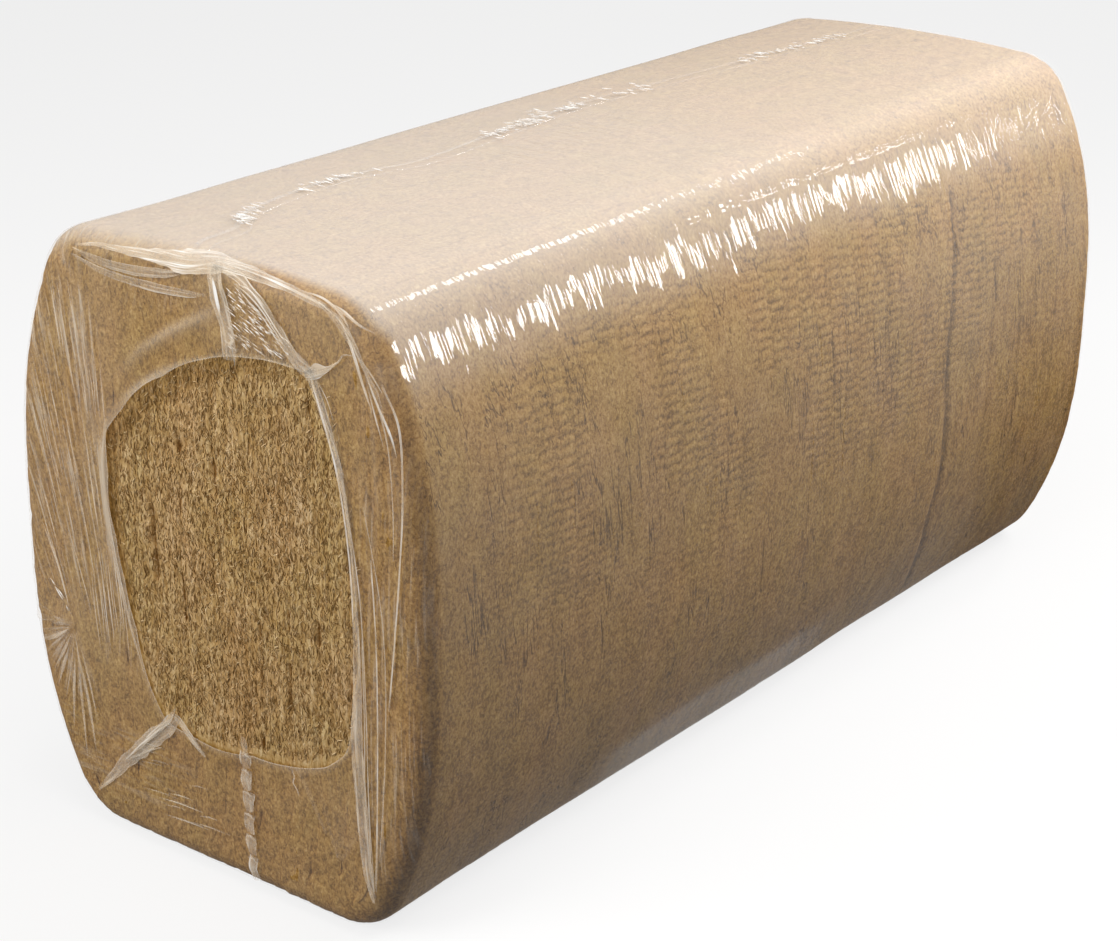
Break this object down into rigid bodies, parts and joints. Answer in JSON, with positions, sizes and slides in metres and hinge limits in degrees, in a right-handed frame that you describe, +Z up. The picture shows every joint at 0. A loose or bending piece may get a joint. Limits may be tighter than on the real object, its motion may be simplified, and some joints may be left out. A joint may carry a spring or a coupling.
{
  "type": "pack of mineral wool slabs",
  "caption": "Pack of stone wool insulation slabs on edge, squeezed in one clear shrink-film sleeve that leaves an oval of bare wool at each end.",
  "frame": {"origin": "middle of the pack's underside, on the surface it rests on", "axes": "+X along the slabs' length, +Y across the stack of slabs, +Z up along the slabs' width; the pack rests on its film-covered underside"},
  "size_m": [1.2002, 0.5042, 0.6002],
  "materials": {
    "wool": "matt pressed fibre",
    "film": "clear glossy film, wrinkled over the ends"
  },
  "bodies": {
    "root": {"slab_01": "wool", "slab_02": "wool", "slab_03": "wool", "slab_04": "wool", "slab_05": "wool", "slab_06": "wool", "slab_07": "wool", "slab_08": "wool", "slab_09": "wool", "slab_10": "wool", "slab_11": "wool", "slab_12": "wool", "film_sleeve": "film"}
  },
  "joints": []
}
